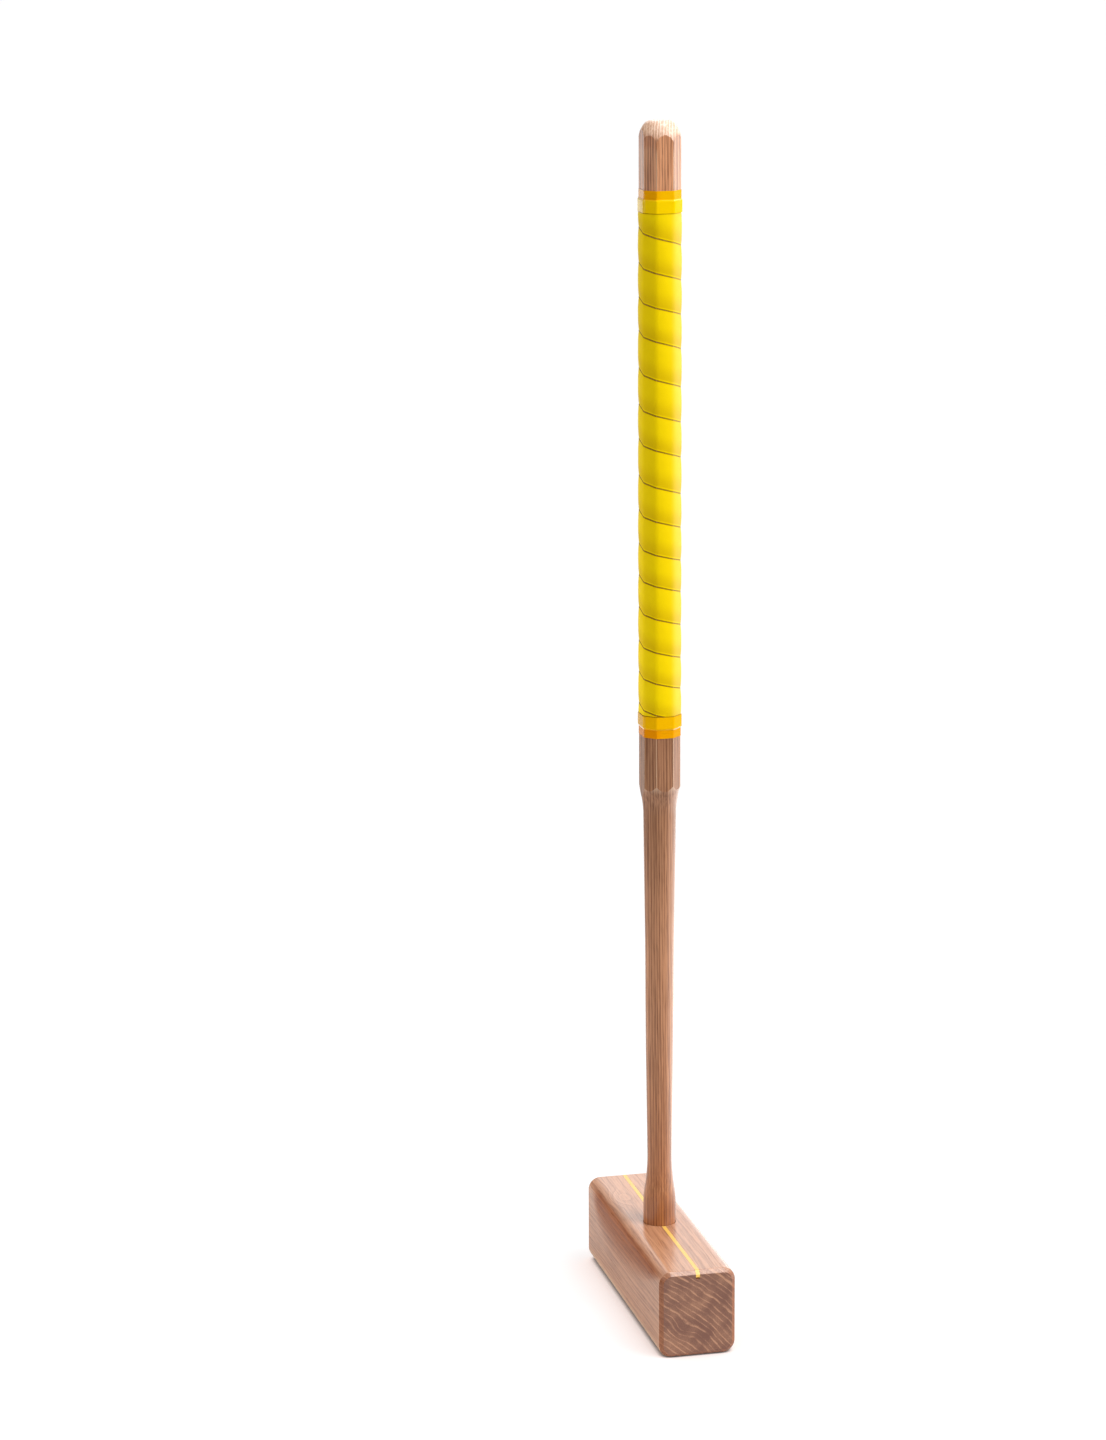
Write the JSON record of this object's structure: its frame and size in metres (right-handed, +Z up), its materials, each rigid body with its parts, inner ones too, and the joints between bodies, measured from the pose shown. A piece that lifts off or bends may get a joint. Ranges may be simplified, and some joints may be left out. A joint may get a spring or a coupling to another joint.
{
  "type": "croquet mallet",
  "caption": "Upright garden croquet mallet: round-edged ash head with an inlaid aiming line, turned ash handle with a domed top, wound foam grip and tape bands.",
  "frame": {"origin": "middle of the sole, on the floor under the handle's axis", "axes": "+Z up the handle, +X along the head towards the front striking face, +Y to the left when looking along +X"},
  "size_m": [0.227, 0.059, 0.9144],
  "materials": {
    "head_ash": "satin lacquer over ash with open grain",
    "handle_ash": "thin satin lacquer over darker ash",
    "wedge_hardwood": "bare, sanded",
    "sight_yellow": "solid yellow strip under the head's lacquer",
    "foam_yellow": "matte closed-cell foam",
    "tape_yellow": "glossy, slightly see-through tape"
  },
  "bodies": {
    "root": {"head_block": "head_ash", "sight_line_front": "sight_yellow", "sight_line_rear": "sight_yellow", "handle": "handle_ash", "tenon_wedge": "wedge_hardwood", "foam_grip": "foam_yellow", "tape_upper": "tape_yellow", "tape_lower": "tape_yellow"}
  },
  "joints": []
}
